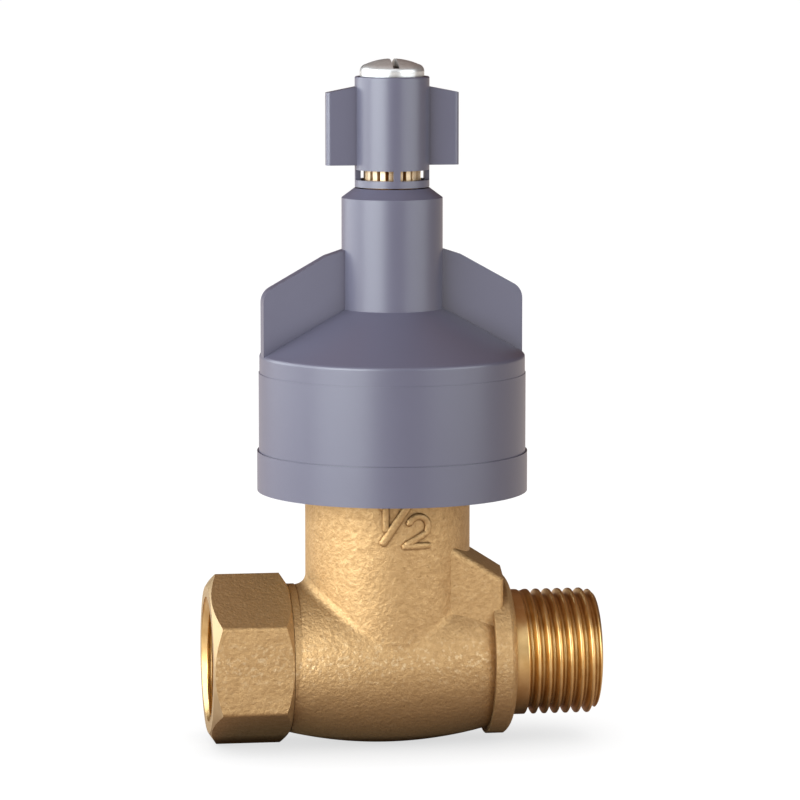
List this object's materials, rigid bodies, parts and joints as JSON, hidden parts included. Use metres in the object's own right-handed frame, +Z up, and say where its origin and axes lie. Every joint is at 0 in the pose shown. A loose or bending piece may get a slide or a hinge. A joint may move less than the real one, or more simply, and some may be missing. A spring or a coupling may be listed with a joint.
{
  "type": "concealed isolating valve",
  "caption": "Concealed isolating valve: forged brass body with hexagon inlet socket and male outlet thread, plastic mortar shield round the neck, and a wing knob that lifts a seat piston.",
  "frame": {"origin": "middle of the inlet mouth, on the plane of the hexagon's end face", "axes": "+X along the pipe run in the direction of flow, towards the outlet thread; +Z up the stem; the valve is shut at rest"},
  "size_m": [0.065, 0.0448, 0.1137],
  "materials": {
    "forged_brass": "hot-pressed and blasted, matt",
    "machined_brass": "turned, bright",
    "grey_plastic": "moulded, satin",
    "chrome_screw": "plated, bright",
    "seal_rubber": "moulded, matt",
    "gasket_fibre": "pressed fibre, matt",
    "slip_plastic": "smooth",
    "spring_steel": "ground"
  },
  "bodies": {
    "housing": {"valve_body": "forged_brass", "bonnet": "machined_brass", "bonnet_gasket": "gasket_fibre", "protective_shield": "grey_plastic"},
    "spindle_and_knob": {"spindle": "machined_brass", "lower_stem_seal": "seal_rubber", "upper_stem_seal": "seal_rubber", "thrust_washer": "slip_plastic", "clip_washer": "spring_steel", "retaining_clip": "spring_steel", "wing_knob": "grey_plastic", "knob_screw": "chrome_screw"},
    "piston": {"lift_piston": "machined_brass", "piston_seal": "seal_rubber", "disc_washer": "seal_rubber", "disc_plate": "machined_brass", "disc_screw": "machined_brass"}
  },
  "joints": [
    {"name": "knob_turn", "type": "hinge", "parent": "housing", "child": "spindle_and_knob", "pos_m": [0.031, 0, 0.05], "axis": [0, 0, 1], "range_deg": [0, 900]},
    {"name": "piston_lift", "type": "slide", "parent": "housing", "child": "piston", "axis": [0, 0, 1], "range_m": [0, 0.006]}
  ],
  "couplings": [
    {"joint": "knob_turn", "follows": "piston_lift", "rad_per_m": 2618}
  ]
}
